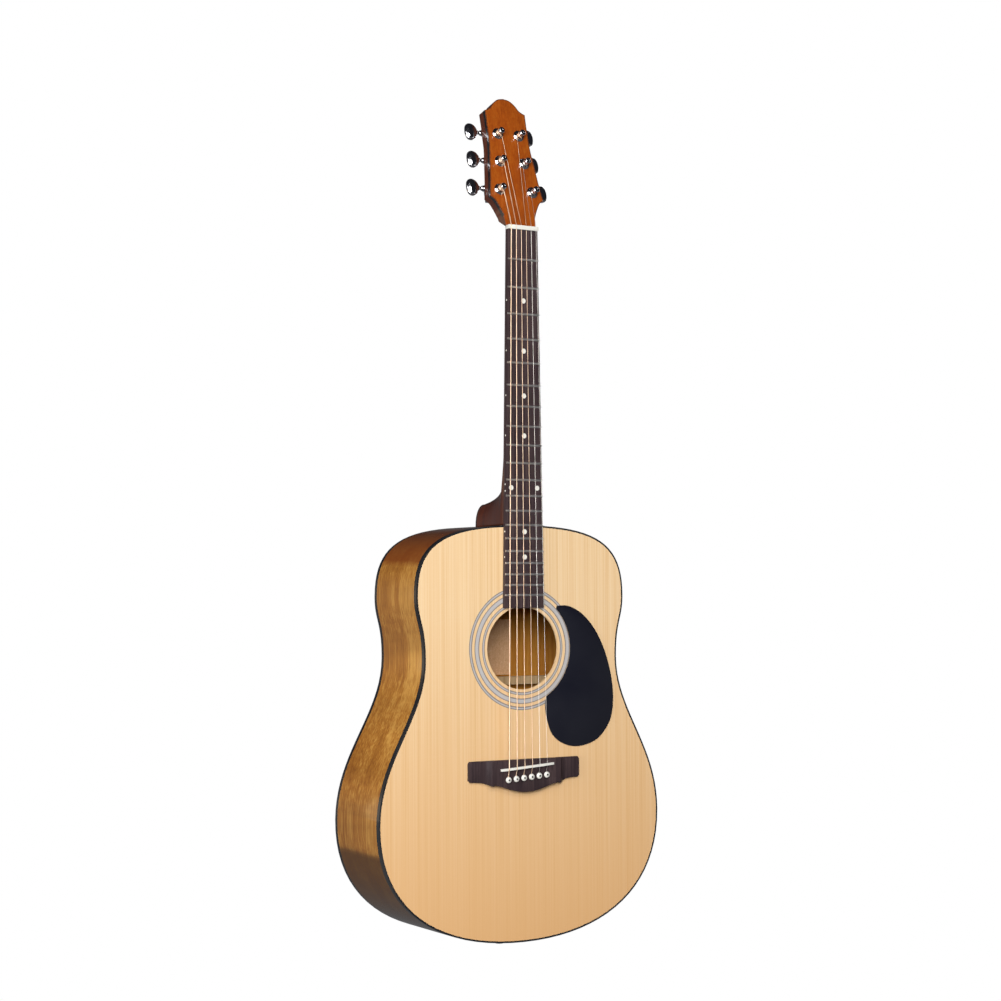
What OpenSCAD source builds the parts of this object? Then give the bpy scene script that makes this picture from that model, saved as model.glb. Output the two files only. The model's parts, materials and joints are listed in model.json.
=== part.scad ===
// Dreadnought acoustic guitar, six steel strings, standing upright.
// Millimetres. +Z runs from the tail to the headstock, the soundboard faces -Y,
// and the treble side is +X. The origin is the middle of the tail.

/* [Body] */
// Length of the body from tail to neck joint
body_len = 503; // [495:1:510]
// Depth of the body at the tail
tail_depth = 118; // [114:1:122]
// Depth of the body at the neck joint
neck_depth = 105; // [101:1:109]
// Half width across the lower bout
lower_half = 197; // [192:1:202]
// Half width across the waist
waist_half = 136; // [132:1:140]
// Half width across the upper bout
upper_half = 146.5; // [142:0.5:150]
// Thickness of the soundboard and of the back
plate_t = 2.8; // [2.4:0.1:3.2]
// Thickness of the sides and width of the bindings
side_t = 2.2; // [1.8:0.1:2.6]
// Height of the bindings on the sides
binding_h = 6; // [4:0.5:7]
// Height of the soundhole centre above the tail
hole_z = 353.8; // [351:0.1:356]
// Radius of the soundhole
hole_r = 50; // [48:0.5:51]

/* [Neck] */
// String length from nut to saddle line
scale_len = 650; // [645:1:655]
// Number of frets
fret_count = 20; // [18:1:20]
// Half width of the fretboard at the nut
nut_half = 21; // [20.5:0.1:21.5]
// Half width of the fretboard at its soundhole end
board_half = 27.9; // [27:0.1:28.5]
// Thickness of the fretboard on its centre line
board_t = 6; // [5.5:0.1:6.5]
// Playing radius of the fretboard, frets, nut and saddle
board_r = 400; // [350:10:450]
// Backward tilt of the headstock in degrees
head_tilt = 14; // [12:0.5:15]
// Thickness of the headstock
head_t = 13.5; // [13:0.5:14.5]

/* [Bridge and strings] */
// Height of the saddle line above the tail
saddle_z = 211; // [210:0.5:212]
// Slant of the saddle and of the pins in degrees
slant = 4; // [3:0.5:5]
// Thickness of the bridge
bridge_t = 8.8; // [8.5:0.1:9.2]
// Height of the saddle crown above the soundboard
saddle_top = 12.4; // [12:0.1:12.8]
// Height of the nut slots above the soundboard
nut_top = 7.6; // [7.5:0.1:7.9]
// Distance between strings at the saddle
pin_gap = 10.8; // [10.5:0.1:11]
// Distance between strings at the nut
nut_gap = 7.1; // [6.9:0.1:7.3]

/* [Tuners] */
// Radius of the string posts
post_r = 3; // [2.9:0.05:3.1]
// Radial play of the posts and keys in their bores
play = 0.06; // [0.04:0.01:0.08]
// Distance of the key axis above the post axis
key_rise = 9; // [8.9:0.1:9.3]
// Distance of the key axis behind the front of the headstock
key_y = 19.5; // [19.3:0.1:19.7]

/* [Hidden] */
$fn = 64;
front_y = -tail_depth / 2;
tilt = atan((tail_depth - neck_depth) / body_len);
nut_t = 5;
joint_fret = 14;
nut_z = body_len + scale_len * (1 - pow(2, -joint_fret / 12));
head_z = nut_z + nut_t;
board_z = nut_z - 461;
inner = side_t + 6;
rod_y = front_y + 8.7;
rod_r = 2.5;
pin_z = saddle_z - 12.5;
pin_r = 2.3;
heel_d = 88;
gauge = [1.35, 1.07, 0.81, 0.61, 0.41, 0.30];
turns = [3, 3, 4, 4, 5, 5];
post_at = [[-23.3, 46.5], [-17.2, 84.5], [-15, 121.7], [15, 121.7], [17.2, 84.5], [23.3, 46.5]];
dot_frets = [3, 5, 7, 9, 15, 17];

spruce = [0.94, 0.80, 0.57];
mahogany = [0.45, 0.24, 0.12];
cedar = [0.40, 0.20, 0.13];
rosewood = [0.20, 0.12, 0.11];
veneer = [0.55, 0.27, 0.12];
black = [0.04, 0.04, 0.05];
white = [0.93, 0.92, 0.88];
inner_wood = [0.80, 0.66, 0.45];
metal = [0.80, 0.80, 0.82];
bronze = [0.72, 0.48, 0.28];

// ---- curves ----

function bez(a, b, c, d, t) =
    pow(1 - t, 3) * a + 3 * t * pow(1 - t, 2) * b + 3 * t * t * (1 - t) * c + pow(t, 3) * d;
function bez_dir(a, b, c, d, t) =
    pow(1 - t, 2) * (b - a) + 2 * t * (1 - t) * (c - b) + t * t * (d - c);
// the four curves of the half outline, from the tail to the neck
spans = [
    [[0, 0], [119, 0], [lower_half, 51.5], [lower_half, 148.5]],
    [[lower_half, 148.5], [lower_half, 229.5], [waist_half, 273], [waist_half, 341]],
    [[waist_half, 341], [waist_half, 386], [upper_half, 388], [upper_half, 418]],
    [[upper_half, 418], [upper_half, 480], [111, body_len], [0, body_len]]
];
function inset(s, t, d) =
    let (p = bez(s[0], s[1], s[2], s[3], t), v = bez_dir(s[0], s[1], s[2], s[3], t))
    p + d * [-v[1], v[0]] / norm(v);
function half_outline(d, n = 20) =
    [for (k = [0:3]) for (i = [0:n - 1]) inset(spans[k], i / n, d), inset(spans[3], 1, d)];
function mirrored(h) = [for (i = [len(h) - 2:-1:1]) [-h[i][0], h[i][1]]];
function both(h) = concat(h, mirrored(h));
// a smooth curve through points, with n steps between neighbours
function spline_at(p, i, t) =
    let (a = p[max(i - 1, 0)], b = p[i], c = p[i + 1], d = p[min(i + 2, len(p) - 1)])
    0.5 * (2 * b + (c - a) * t + (2 * a - 5 * b + 4 * c - d) * t * t
        + (3 * b - a - 3 * c + d) * t * t * t);
function spline(p, n) =
    concat([for (i = [0:len(p) - 2]) for (k = [0:n - 1]) spline_at(p, i, k / n)], [p[len(p) - 1]]);

function board_half_at(z) = nut_half + (nut_z - z) * (board_half - nut_half) / (nut_z - board_z);
function fret_z(n) = nut_z - scale_len * (1 - pow(2, -n / 12));
function sag(x) = x * x / (2 * board_r);

// ---- shared solids ----

// an outline in X and Z, drawn from depth y0 to depth y1
module slab(y0, y1) {
    translate([0, y1, 0])
        rotate([90, 0, 0])
            linear_extrude(y1 - y0)
                children();
}

module body_prism(d, y0, y1) {
    slab(y0, y1)
        polygon(both(half_outline(d)));
}

// the layer between two distances in from the outer face of the back
module back_layer(d0, d1) {
    translate([0, tail_depth / 2, 0])
        rotate([tilt, 0, 0])
            translate([-260, -d1, -40])
                cube([520, d1 - d0, 600]);
}

module head_frame() {
    translate([0, front_y, head_z])
        rotate([-head_tilt, 0, 0])
            children();
}

// a point of the headstock's own frame in the frame of the guitar
function from_head(x, y, s) = [
    x,
    front_y + y * cos(head_tilt) + s * sin(head_tilt),
    head_z - y * sin(head_tilt) + s * cos(head_tilt)
];

module bar(p, q, r) {
    v = q - p;
    translate(p)
        rotate([0, acos(v[2] / norm(v)), atan2(v[1], v[0])])
            cylinder(r = r, h = norm(v));
}

// ---- sound box ----

module soundhole() {
    translate([0, front_y + plate_t + 1, hole_z])
        rotate([90, 0, 0])
            cylinder(r = hole_r, h = plate_t + 2);
}

module ring(r0, r1, depth) {
    translate([0, front_y + depth, hole_z])
        rotate([90, 0, 0])
            difference() {
                cylinder(r = r1, h = depth);
                translate([0, 0, -1])
                    cylinder(r = r0, h = depth + 2);
            }
}

module rosette_rings() {
    ring(53.5, 57, 1);
    ring(61, 67.4, 1);
    ring(71, 75, 1);
}

module soundboard() {
    color(spruce)
        difference() {
            body_prism(side_t, front_y, front_y + plate_t);
            soundhole();
            rosette_rings();
            pin_shafts();
            string_channels();
        }
}

module rosette() {
    color([0.25, 0.24, 0.25])
        rosette_rings();
}

module back_plate() {
    color(mahogany)
        intersection() {
            body_prism(side_t, 0, tail_depth / 2 + 2);
            back_layer(0, plate_t);
        }
}

module rim(y0, y1) {
    difference() {
        body_prism(0, y0, y1);
        body_prism(side_t, y0 - 1, y1 + 1);
    }
}

module tenon(grow = 0) {
    translate([-12, front_y + binding_h, body_len - 33])
        cube([24, 70, 33 + grow]);
}

module side(x0) {
    color(mahogany)
        difference() {
            intersection() {
                rim(front_y + binding_h, tail_depth / 2);
                translate([x0, front_y, -5])
                    cube([250, tail_depth, body_len + 10]);
            }
            back_layer(-40, binding_h);
            tenon(2);
            pin_stem(0);
        }
}

module bass_side() {
    side(-250);
}

module treble_side() {
    side(0);
}

module top_binding() {
    color(black)
        rim(front_y, front_y + binding_h);
}

module back_binding() {
    color(black)
        intersection() {
            rim(0, tail_depth / 2 + 2);
            back_layer(0, binding_h);
        }
}

module neck_block_shape() {
    difference() {
        intersection() {
            body_prism(side_t, front_y + plate_t, tail_depth / 2);
            translate([-42, front_y, body_len - 45])
                cube([84, tail_depth, 60]);
        }
        back_layer(-40, plate_t);
    }
}

module tail_block_shape() {
    difference() {
        intersection() {
            body_prism(side_t, front_y + plate_t, tail_depth / 2);
            translate([-42, front_y, -5])
                cube([84, tail_depth, 27]);
        }
        back_layer(-40, plate_t);
    }
}

module neck_block() {
    color(inner_wood)
        difference() {
            neck_block_shape();
            tenon(2);
            truss_bar(0);
        }
}

module tail_block() {
    color(inner_wood)
        difference() {
            tail_block_shape();
            pin_stem(0);
        }
}

module lining_ring(y0, y1) {
    difference() {
        body_prism(side_t, y0, y1);
        body_prism(inner, y0 - 1, y1 + 1);
        translate([-42, y0 - 1, -5])
            cube([84, y1 - y0 + 2, 27]);
        translate([-42, y0 - 1, body_len - 45])
            cube([84, y1 - y0 + 2, 60]);
    }
}

module linings() {
    color(inner_wood) {
        lining_ring(front_y + plate_t, front_y + plate_t + 12);
        intersection() {
            lining_ring(0, tail_depth / 2 + 2);
            back_layer(plate_t, plate_t + 12);
        }
    }
}

// ---- braces ----

x_z = 276;
leg = 49;

module brace_on_top(x, z, turn, length, width, height) {
    translate([x, front_y + plate_t, z])
        rotate([0, turn, 0])
            translate([-width / 2, 0, -length / 2])
                cube([width, height, length]);
}

module x_brace() {
    color(inner_wood)
        intersection() {
            union() {
                brace_on_top(0, x_z, leg, 520, 8, 13);
                brace_on_top(0, x_z, -leg, 520, 8, 13);
            }
            body_prism(inner + 0.3, front_y, 0);
        }
}

module upper_transverse_brace() {
    color(inner_wood)
        difference() {
            intersection() {
                translate([-160, front_y + plate_t, 422])
                    cube([320, 14, 12]);
                body_prism(inner + 0.3, front_y, 0);
            }
            translate([0, rod_y, 415])
                cylinder(r = 4.6, h = 30);
        }
}

module tone_bars() {
    color(inner_wood) {
        brace_on_top(-4, 148, 72, 180, 7, 11);
        brace_on_top(0, 96, 72, 205, 7, 11);
    }
}

module finger_braces() {
    color(inner_wood)
        for (s = [-1, 1])
            brace_on_top(s * 126, 226, s * 60, 60, 6, 8);
}

module back_braces() {
    color(inner_wood)
        for (z = [95, 190, 310, 405])
            intersection() {
                back_layer(plate_t, plate_t + 14);
                body_prism(inner + 0.3, -20, tail_depth / 2);
                translate([-200, -20, z - 5])
                    cube([400, tail_depth, 10]);
            }
}

module back_center_strip() {
    color(inner_wood)
        for (z = [[22, 90], [100, 185], [195, 305], [410, body_len - 45]])
            intersection() {
                back_layer(plate_t, plate_t + 2);
                translate([-8, -20, z[0]])
                    cube([16, tail_depth, z[1] - z[0]]);
            }
}

module label() {
    color([0.80, 0.68, 0.45])
        intersection() {
            back_layer(plate_t, plate_t + 0.2);
            translate([-47, 0, 317])
                cube([94, tail_depth, 70]);
        }
}

module bridge_plate() {
    color(inner_wood)
        difference() {
            slab(front_y + plate_t, front_y + plate_t + 2.5)
                polygon([[-48, 226], [48, 226], [84, 188], [-84, 188]]);
            pin_shafts();
            string_channels();
        }
}

// ---- bridge ----

function string_x(i) = (i - 2.5) * pin_gap;
function nut_x(i) = (i - 2.5) * nut_gap;
function slanted(z, x) = z + x * tan(slant);

module pin_shafts() {
    for (i = [0:5])
        translate([string_x(i), front_y + 14, slanted(pin_z, string_x(i))])
            rotate([90, 0, 0])
                cylinder(r = pin_r, h = 14 + bridge_t + 1);
}

module string_channels() {
    for (i = [0:5])
        translate([string_x(i), front_y + 5, slanted(pin_z, string_x(i)) + pin_r + gauge[i] / 2])
            rotate([90, 0, 0])
                cylinder(r = gauge[i] / 2 + 0.1, h = 5 + bridge_t + 1);
}

bridge_half = concat(
    [[0, 181], [9, 181.6], [18, 183.3], [28, 186.5], [36, 189], [42, 190], [44, 192.2], [46, 189.6]],
    spline([[50, 190.6], [57, 193.4], [66, 194.9], [75.5, 195.2]], 2),
    [[78, 197.5], [78, 217.5], [76, 220]]
);

module bridge_blank() {
    difference() {
        slab(front_y - bridge_t, front_y)
            polygon(concat(bridge_half, [for (i = [len(bridge_half) - 1:-1:1])
                [-bridge_half[i][0], bridge_half[i][1]]]));
        for (s = [-1, 1]) {
            translate([s * 58.5, front_y - 15.5, 170])
                cylinder(r = 12, h = 60);
            translate([s * 79.5 - 21, front_y - 23.5, 170])
                cube([42, 20, 60]);
        }
    }
}

module saddle_blade(y0, y1) {
    translate([0, 0, saddle_z])
        rotate([0, -slant, 0])
            translate([-37.2, y0, -1.4])
                cube([74.4, y1 - y0, 2.8]);
}

module bridge() {
    color(rosewood)
        difference() {
            bridge_blank();
            saddle_blade(front_y - 20, front_y - 3);
            pin_shafts();
            string_channels();
            string_lines(0.05);
        }
}

module saddle() {
    color(white)
        difference() {
            intersection() {
                saddle_blade(front_y - 20, front_y - 3);
                translate([0, front_y - saddle_top - 0.4 + board_r, 100])
                    cylinder(r = board_r, h = 200, $fn = 256);
            }
            string_lines(0.05);
        }
}

module bridge_pins() {
    color(white)
        difference() {
            for (i = [0:5])
                translate([string_x(i), front_y - bridge_t, slanted(pin_z, string_x(i))])
                    rotate([90, 0, 0]) {
                        translate([0, 0, -bridge_t - plate_t - 3])
                            cylinder(r = pin_r, h = bridge_t + plate_t + 4);
                        cylinder(r1 = 3.1, r2 = 3.8, h = 1.2);
                        translate([0, 0, 1.2])
                            cylinder(r1 = 3.8, r2 = 2.2, h = 2.6);
                    }
            string_channels();
            for (i = [0:5])
                string_path(i, 0.1, 0, 4);
        }
}

// ---- pickguard ----

guard_edge = [
    [49, 404.8], [65.5, 404.4], [85.7, 394.5], [104.5, 374.7], [119, 347.5], [128.3, 315.4],
    [130.6, 285.9], [124.9, 260.4], [106.4, 239.8], [80.1, 232.1], [58.5, 235.5], [41.5, 247.4],
    [33.4, 267.5], [31, 284], [33, 294.9]
];

module pickguard() {
    color([0.05, 0.05, 0.09])
        slab(front_y - 1.2, front_y)
            polygon(concat(
                spline(guard_edge, 4),
                [for (a = [-57:6:45]) [67.5 * cos(a), hole_z + 67.5 * sin(a)]]
            ));
}

// ---- tail ----

module pin_stem(grow) {
    translate([0, 0, -1])
        cylinder(r = 3.5 + grow, h = 17);
}

module end_pin() {
    color(black) {
        pin_stem(0);
        translate([0, 0, -10])
            cylinder(r = 7, h = 4);
        translate([0, 0, -7])
            cylinder(r1 = 5.5, r2 = 4, h = 3.5);
        translate([0, 0, -3.6])
            cylinder(r1 = 4, r2 = 6, h = 3.6);
    }
}

// ---- neck ----

module truss_bar(grow) {
    translate([0, rod_y, 445.5])
        cylinder(r = rod_r + grow, h = nut_z - 18 - 445.5);
}

// half width and height of the heel at each depth behind the soundboard
heel_rows = [
    [6, 24.6, 92], [12, 24.2, 76], [18, 23.6, 61], [24, 22.6, 53.5], [32, 21, 46.5], [42, 18.8, 40.5],
    [55, 16.4, 35.5], [70, 14.3, 31.5], [heel_d, 12.8, 28.5]
];
heel_n = 16;

function arch(w, h) = concat(
    [[w, -8]],
    [for (k = [0:heel_n]) [w * cos(180 * k / heel_n), h * pow(sin(180 * k / heel_n), 0.85)]],
    [[-w, -8]]
);
heel_pts = [for (r = heel_rows) for (p = arch(r[1], r[2])) [p[0], front_y + r[0], body_len + p[1]]];

module heel_loft() {
    n = heel_n + 3;
    m = len(heel_rows);
    polyhedron(
        points = heel_pts,
        faces = concat(
            [[for (i = [0:n - 1]) n - 1 - i]],
            [for (j = [0:m - 2]) for (i = [0:n - 1])
                [j * n + i, j * n + (i + 1) % n, (j + 1) * n + i]],
            [for (j = [0:m - 2]) for (i = [0:n - 1])
                [j * n + (i + 1) % n, (j + 1) * n + (i + 1) % n, (j + 1) * n + i]],
            [[for (i = [0:n - 1]) (m - 1) * n + i]]
        )
    );
}

// the rounded back of the neck, flat on the fretboard side
module neck_shaft() {
    z0 = body_len - 8;
    difference() {
        translate([0, front_y, z0])
            scale([1, 0.70, 1])
                cylinder(r1 = board_half_at(z0) - 1.2, r2 = board_half_at(head_z) - 1.2, h = head_z - z0);
        translate([-40, front_y - 50, z0 - 5])
            cube([80, 50, head_z - z0 + 10]);
    }
}

module neck() {
    color(cedar)
        difference() {
            union() {
                difference() {
                    union() {
                        neck_shaft();
                        heel_loft();
                    }
                    body_prism(0, front_y - 5, tail_depth / 2);
                }
                tenon();
            }
            truss_bar(0);
        }
}

module heel_cap() {
    color([0.16, 0.10, 0.08])
        difference() {
            translate([0, 0, body_len])
                slab(front_y + heel_d, front_y + heel_d + 3)
                    polygon(arch(12.8, 28.5));
            body_prism(0, front_y, tail_depth / 2);
        }
}

module truss_rod() {
    color(metal)
        truss_bar(0);
}

module truss_rod_nut() {
    color([0.72, 0.60, 0.32])
        difference() {
            translate([0, rod_y, 438])
                cylinder(r = 4.2, h = 14);
            translate([0, rod_y, 437])
                cylinder(r = 2.5 / cos(30), h = 8, $fn = 6);
            translate([0, rod_y, 444])
                cylinder(r = rod_r + play, h = 9);
        }
}

// ---- fretboard ----

module playing_surface(z0, z1) {
    translate([0, front_y - board_t + board_r, z0])
        cylinder(r = board_r, h = z1 - z0, $fn = 256);
}

module board_blank() {
    intersection() {
        slab(front_y - board_t - 1, front_y)
            polygon([[board_half, board_z], [nut_half, nut_z], [-nut_half, nut_z], [-board_half, board_z]]);
        playing_surface(board_z - 1, nut_z + 1);
    }
}

module fret_sweep(n, profile) {
    reach = asin(board_half_at(fret_z(n)) / board_r);
    translate([0, front_y - board_t + board_r, fret_z(n)])
        rotate([0, 0, -90 - reach])
            rotate_extrude(angle = 2 * reach, $fn = 256)
                polygon(profile);
}

tang = [[board_r - 2.5, -0.3], [board_r + 0.01, -0.3], [board_r + 0.01, 0.3], [board_r - 2.5, 0.3]];
crown = [
    [board_r - 2.5, -0.3], [board_r, -0.3], [board_r, -1.15], [board_r + 0.55, -0.95],
    [board_r + 0.95, -0.5], [board_r + 1.1, 0], [board_r + 0.95, 0.5], [board_r + 0.55, 0.95],
    [board_r, 1.15], [board_r, 0.3], [board_r - 2.5, 0.3]
];

module dot(x, n, r) {
    translate([x, front_y - board_t + 1.6, (fret_z(n) + fret_z(n - 1)) / 2])
        rotate([90, 0, 0])
            cylinder(r = r, h = 8);
}

module side_dot(x, n) {
    z = (fret_z(n) + fret_z(n - 1)) / 2 + x;
    translate([-board_half_at(z) - 2, front_y - board_t / 2 - 0.4, z])
        rotate([0, 90, 0])
            cylinder(r = 1.1, h = 4);
}

module dot_plugs() {
    for (n = dot_frets)
        dot(0, n, 3.1);
    for (x = [-18.5, 18.5])
        dot(x, 12, 3.1);
    for (n = dot_frets)
        side_dot(0, n);
    for (z = [-4, 4])
        side_dot(z, 12);
}

module fretboard() {
    color(rosewood)
        difference() {
            board_blank();
            for (n = [1:fret_count])
                fret_sweep(n, tang);
            dot_plugs();
        }
}

module frets() {
    color(metal)
        for (n = [1:fret_count])
            fret_sweep(n, crown);
}

module position_dots() {
    color(white)
        intersection() {
            board_blank();
            dot_plugs();
        }
}

module nut() {
    color(white)
        difference() {
            intersection() {
                translate([-nut_half, front_y - 12, nut_z])
                    cube([2 * nut_half, 12, nut_t]);
                translate([0, front_y - nut_top - 1 + board_r, nut_z - 1])
                    cylinder(r = board_r, h = nut_t + 2, $fn = 256);
            }
            string_lines(0);
        }
}

// ---- headstock ----

head_half = concat(
    spline([[20.4, -6], [20.8, 0], [22.1, 12], [24.2, 17.5], [27.6, 25], [32, 32.5], [38.1, 37.4]], 4),
    spline([[36.5, 46], [34.5, 60], [31.5, 85], [29.2, 106], [28.6, 130], [28.8, 152.2]], 3),
    spline([[25.6, 153.3], [21.5, 155.8], [18.6, 159.2], [15.4, 163.3], [8.4, 168.7], [0, 170.4]], 3)
);

module head_outline() {
    polygon(concat(head_half, [for (i = [len(head_half) - 2:-1:0]) [-head_half[i][0], head_half[i][1]]]));
}

module head_holes(r) {
    for (p = post_at)
        translate([p[0], head_t + 1, p[1]])
            rotate([90, 0, 0])
                cylinder(r = r, h = head_t + 5);
}

module screw_shanks() {
    for (p = post_at)
        translate([p[0], head_t, p[1] - 11])
            rotate([90, 0, 0])
                cylinder(r = 1.1, h = 8);
}

module headstock() {
    color(cedar)
        difference() {
            intersection() {
                head_frame()
                    slab(0, head_t)
                        head_outline();
                union() {
                    translate([0, front_y, head_z])
                        scale([1, 0.70, 1])
                            cylinder(r1 = nut_half - 1, r2 = nut_half + 52, h = 32);
                    translate([-60, front_y - 20, head_z + 31])
                        cube([120, 120, 160]);
                }
            }
            head_frame() {
                head_holes(5);
                screw_shanks();
            }
        }
}

module headstock_veneer() {
    color(veneer)
        difference() {
            intersection() {
                head_frame()
                    slab(-1, 0)
                        head_outline();
                translate([-60, front_y - 20, head_z])
                    cube([120, 120, 200]);
            }
            head_frame()
                head_holes(5);
        }
}

// ---- tuners, each drawn about its own post with the key pointing outward ----

module at_post(i) {
    head_frame()
        translate([post_at[i][0], 0, post_at[i][1]])
            scale([post_at[i][0] < 0 ? -1 : 1, 1, 1])
                children();
}

module along_y(y0, y1, r0, r1) {
    translate([0, y1, 0])
        rotate([90, 0, 0])
            cylinder(r1 = r1, r2 = r0, h = y1 - y0);
}

module along_x(x0, x1, r) {
    translate([x0, key_y, key_rise])
        rotate([0, 90, 0])
            cylinder(r = r, h = x1 - x0);
}

wheel_r = 5.2;
worm_r = 3.5;

module housing() {
    difference() {
        union() {
            translate([-7, head_t, -7.5])
                cube([14, 11, 22]);
            translate([-3.5, head_t, -14])
                cube([7, 1.6, 7]);
            along_x(6.5, 9.5, 4);
        }
        along_y(head_t + 1.5, head_t + 10, wheel_r + 0.5, wheel_r + 0.5);
        along_y(head_t - 1, head_t + 2, post_r + play, post_r + play);
        along_x(-5, 5.2, worm_r + 0.5);
        along_x(5, 10, 2 + play);
        along_x(-6.2, -4.5, 1.5 + play);
        translate([0, 0, -11])
            along_y(head_t - 1, head_t + 3, 1.1, 1.1);
    }
}

module tuner_housings() {
    color(metal)
        for (i = [0:5])
            at_post(i)
                housing();
}

module tuner_bushings() {
    color(metal)
        for (i = [0:5])
            at_post(i)
                difference() {
                    union() {
                        along_y(-1, 7, 5, 5);
                        along_y(-2.4, -1, 7.3, 7.3);
                        along_y(-3, -2.4, 5.6, 7);
                    }
                    along_y(-4, 8, post_r + play, post_r + play);
                }
}

module tuner_screws() {
    color(metal) {
        head_frame()
            screw_shanks();
        for (i = [0:5])
            at_post(i)
                translate([0, 0, -11]) {
                    along_y(head_t - 0.5, head_t + 1.6, 1.1, 1.1);
                    along_y(head_t + 1.6, head_t + 2.8, 2.4, 1.6);
                }
    }
}

// levels of the string at its post, measured forward from the headstock wood
function low_level(i) = -3.4 - gauge[i] / 2;
function turn_level(i, k) = low_level(i) - 0.25 - 1.06 * gauge[i] * k;

module string_stub(i) {
    translate([0, turn_level(i, turns[i]), -post_r - 3])
        cylinder(r = gauge[i] / 2, h = 2 * post_r + 5);
}

module tuner_post(i) {
    color(metal)
        at_post(i)
            difference() {
                union() {
                    along_y(-12, key_y + 3, post_r, post_r);
                    along_y(-13, -12, post_r + 0.6, post_r + 1.1);
                    along_y(-12, -10.6, post_r + 1.1, post_r);
                    along_y(key_y - 3, key_y + 3, wheel_r, wheel_r);
                }
                string_stub(i);
            }
}

module string_winding(i) {
    r = gauge[i] / 2;
    color(i < 4 ? bronze : metal)
        at_post(i) {
            difference() {
                along_y(turn_level(i, turns[i]), turn_level(i, 1), post_r + r, post_r + r);
                along_y(turn_level(i, turns[i]) - 1, turn_level(i, 1) + 1, post_r + 0.02, post_r + 0.02);
            }
            for (k = [1:turns[i]])
                translate([0, turn_level(i, k), 0])
                    rotate([90, 0, 0])
                        rotate_extrude()
                            translate([post_r + r + 0.03, 0])
                                circle(r = r, $fn = 24);
            string_stub(i);
        }
}

// half outline of the flat key, from its stem to its outer end
key_half = concat(
    [for (t = [0:5]) bez([17.9, 3], [18.6, 7.4], [22.5, 10.85], [26.8, 10.85], t / 6)],
    [for (t = [0:6]) bez([26.8, 10.85], [32, 10.85], [34.3, 6.6], [33.4, 0], t / 6)]
);

module tuner_key(i) {
    color(metal)
        at_post(i) {
            along_x(-4.5, 4.5, worm_r);
            along_x(-6, -4, 1.5);
            along_x(4, 19, 2);
            along_x(9.7, 11.2, 3.7);
            along_x(11.2, 13.2, 3.1);
            along_x(16.2, 18.4, 3);
            translate([0, 0, key_rise])
                slab(key_y - 3.7, key_y + 3.7)
                    polygon(concat(key_half, [for (k = [len(key_half) - 2:-1:0])
                        [key_half[k][0], -key_half[k][1]]]));
        }
}

// ---- strings ----

function wrap_end(i) = from_head(
    post_at[i][0] + (post_at[i][0] < 0 ? 1 : -1) * (post_r + 0.3 + gauge[i] / 2),
    low_level(i),
    post_at[i][1]
);
function nut_point(i, z) = [nut_x(i), front_y - nut_top + sag(nut_x(i)) - gauge[i] / 2, z];
// the route of a string from its ball end to its post
function route(i) =
    let (x = string_x(i), r = gauge[i] / 2, z = slanted(pin_z, x) + pin_r + r)
    [
        [x, front_y + plate_t + 4.5, z],
        [x, front_y - bridge_t - 0.4 - r, z],
        [x, front_y - saddle_top + sag(x) - r, slanted(saddle_z, x)],
        nut_point(i, nut_z + 0.4),
        nut_point(i, nut_z + nut_t - 0.4),
        wrap_end(i)
    ];

module string_path(i, grow, first, last) {
    p = route(i);
    for (k = [first:last])
        bar(p[k], p[k + 1], gauge[i] / 2 + grow);
    for (k = [first + 1:last])
        translate(p[k])
            sphere(r = (gauge[i] / 2 + grow) * 1.04, $fn = 24);
}

// the strings where they cross the bridge, saddle and nut, used to seat them
module string_lines(grow) {
    for (i = [0:5])
        string_path(i, grow, 1, 4);
}

module string(i) {
    color(i < 4 ? bronze : metal) {
        string_path(i, 0, 0, 4);
        translate(route(i)[0] + [-1.6, 0.8, 0])
            rotate([0, 90, 0])
                cylinder(r = 1.9, h = 3.2);
    }
}

soundboard();
rosette();
back_plate();
bass_side();
treble_side();
top_binding();
back_binding();
neck_block();
tail_block();
linings();
x_brace();
upper_transverse_brace();
tone_bars();
finger_braces();
back_braces();
back_center_strip();
label();
bridge_plate();
bridge();
saddle();
bridge_pins();
pickguard();
end_pin();
neck();
heel_cap();
truss_rod();
truss_rod_nut();
fretboard();
frets();
position_dots();
nut();
headstock();
headstock_veneer();
tuner_housings();
tuner_bushings();
tuner_screws();
tuner_post(5);  // tuner_post_1
tuner_post(4);  // tuner_post_2
tuner_post(3);  // tuner_post_3
tuner_post(2);  // tuner_post_4
tuner_post(1);  // tuner_post_5
tuner_post(0);  // tuner_post_6
tuner_key(5);  // tuner_key_1
tuner_key(4);  // tuner_key_2
tuner_key(3);  // tuner_key_3
tuner_key(2);  // tuner_key_4
tuner_key(1);  // tuner_key_5
tuner_key(0);  // tuner_key_6
string(5);  // string_1
string(4);  // string_2
string(3);  // string_3
string(2);  // string_4
string(1);  // string_5
string(0);  // string_6
string_winding(5);  // winding_1
string_winding(4);  // winding_2
string_winding(3);  // winding_3
string_winding(2);  // winding_4
string_winding(1);  // winding_5
string_winding(0);  // winding_6
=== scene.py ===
# Acoustic guitar: materials, finer pieces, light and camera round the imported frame.
# Metres in Blender; the mesh helpers take millimetres, in the frame of the CAD.
import bpy
import json
import math
from mathutils import Matrix, Vector

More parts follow.
